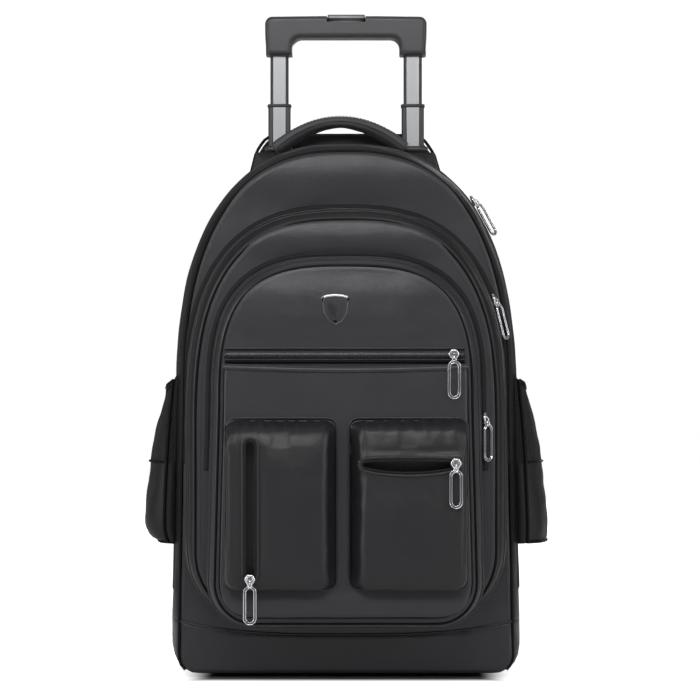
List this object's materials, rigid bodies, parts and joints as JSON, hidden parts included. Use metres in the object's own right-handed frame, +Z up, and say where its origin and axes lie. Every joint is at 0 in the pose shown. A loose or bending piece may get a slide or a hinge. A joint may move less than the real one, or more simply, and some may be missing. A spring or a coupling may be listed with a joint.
{
  "type": "wheeled backpack",
  "caption": "Upright cloth backpack with arched zipped compartments, pockets, padded shoulder straps, corner wheels and a telescopic pull handle.",
  "frame": {"origin": "middle of the bounding box, on the floor that the bag stands on", "axes": "+Z up, -Y out of the front with the pockets, +X to the right seen from the front"},
  "size_m": [0.3764, 0.2684, 0.6208],
  "materials": {
    "main_fabric": "satin woven nylon",
    "padded_fabric": "matt woven nylon over foam",
    "net_fabric": "mesh",
    "zip_tape": "coil zip",
    "webbing": "ribbed webbing",
    "chrome": "polished",
    "tube_metal": "satin anodised",
    "grip_plastic": "satin moulded",
    "black_plastic": "moulded",
    "tyre_rubber": "matt"
  },
  "bodies": {
    "bag": {"main_shell": "main_fabric", "base_boot": "main_fabric", "middle_shell": "main_fabric", "front_shell": "main_fabric", "tablet_panel": "main_fabric", "pocket_left": "main_fabric", "pocket_right": "main_fabric", "carry_handle": "padded_fabric", "back_panel": "padded_fabric", "shoulder_strap_left": "padded_fabric", "shoulder_strap_right": "padded_fabric", "side_pocket_left": "net_fabric", "side_pocket_right": "net_fabric", "lumbar_pad": "net_fabric", "zip_main": "zip_tape", "zip_middle": "zip_tape", "zip_front": "zip_tape", "zip_tablet": "zip_tape", "zip_pocket_left": "zip_tape", "zip_pocket_right": "zip_tape", "strap_webbing_left": "webbing", "strap_webbing_right": "webbing", "axle_left": "chrome", "axle_right": "chrome", "slider_main": "chrome", "pull_main": "chrome", "slider_middle": "chrome", "pull_middle": "chrome", "slider_front": "chrome", "pull_front": "chrome", "slider_tablet": "chrome", "pull_tablet": "chrome", "slider_pocket_left": "chrome", "pull_pocket_left": "chrome", "slider_pocket_right": "chrome", "pull_pocket_right": "chrome", "outer_tube_left": "tube_metal", "outer_tube_right": "tube_metal", "handle_bezel_left": "black_plastic", "handle_bezel_right": "black_plastic", "kick_plate": "black_plastic", "wheel_housing_left": "black_plastic", "wheel_housing_right": "black_plastic", "strap_buckle_left": "black_plastic", "strap_buckle_right": "black_plastic", "badge": "black_plastic", "foot_left": "tyre_rubber", "foot_right": "tyre_rubber"},
    "handle_middle": {"middle_tube_left": "tube_metal", "middle_tube_right": "tube_metal"},
    "handle_inner": {"inner_tube_left": "tube_metal", "inner_tube_right": "tube_metal", "grip": "grip_plastic"},
    "button": {"grip_button": "black_plastic"},
    "wheel_left": {"tyre_left": "tyre_rubber", "hub_left": "black_plastic"},
    "wheel_right": {"tyre_right": "tyre_rubber", "hub_right": "black_plastic"}
  },
  "joints": [
    {"name": "handle_middle_slide", "type": "slide", "parent": "bag", "child": "handle_middle", "axis": [0, 0, 1], "range_m": [-0.018, 0.23]},
    {"name": "handle_inner_slide", "type": "slide", "parent": "handle_middle", "child": "handle_inner", "axis": [0, 0, 1], "range_m": [-0.0445, 0.22]},
    {"name": "button_press", "type": "slide", "parent": "handle_inner", "child": "button", "axis": [0, 0, 1], "range_m": [-0.003, 0], "stiffness_N_per_m": 400, "springref_m": 0.003},
    {"name": "wheel_left_spin", "type": "hinge", "parent": "bag", "child": "wheel_left", "pos_m": [-0.127, 0.0852, 0.033], "axis": [1, 0, 0], "continuous": true},
    {"name": "wheel_right_spin", "type": "hinge", "parent": "bag", "child": "wheel_right", "pos_m": [0.127, 0.0852, 0.033], "axis": [1, 0, 0], "continuous": true}
  ]
}
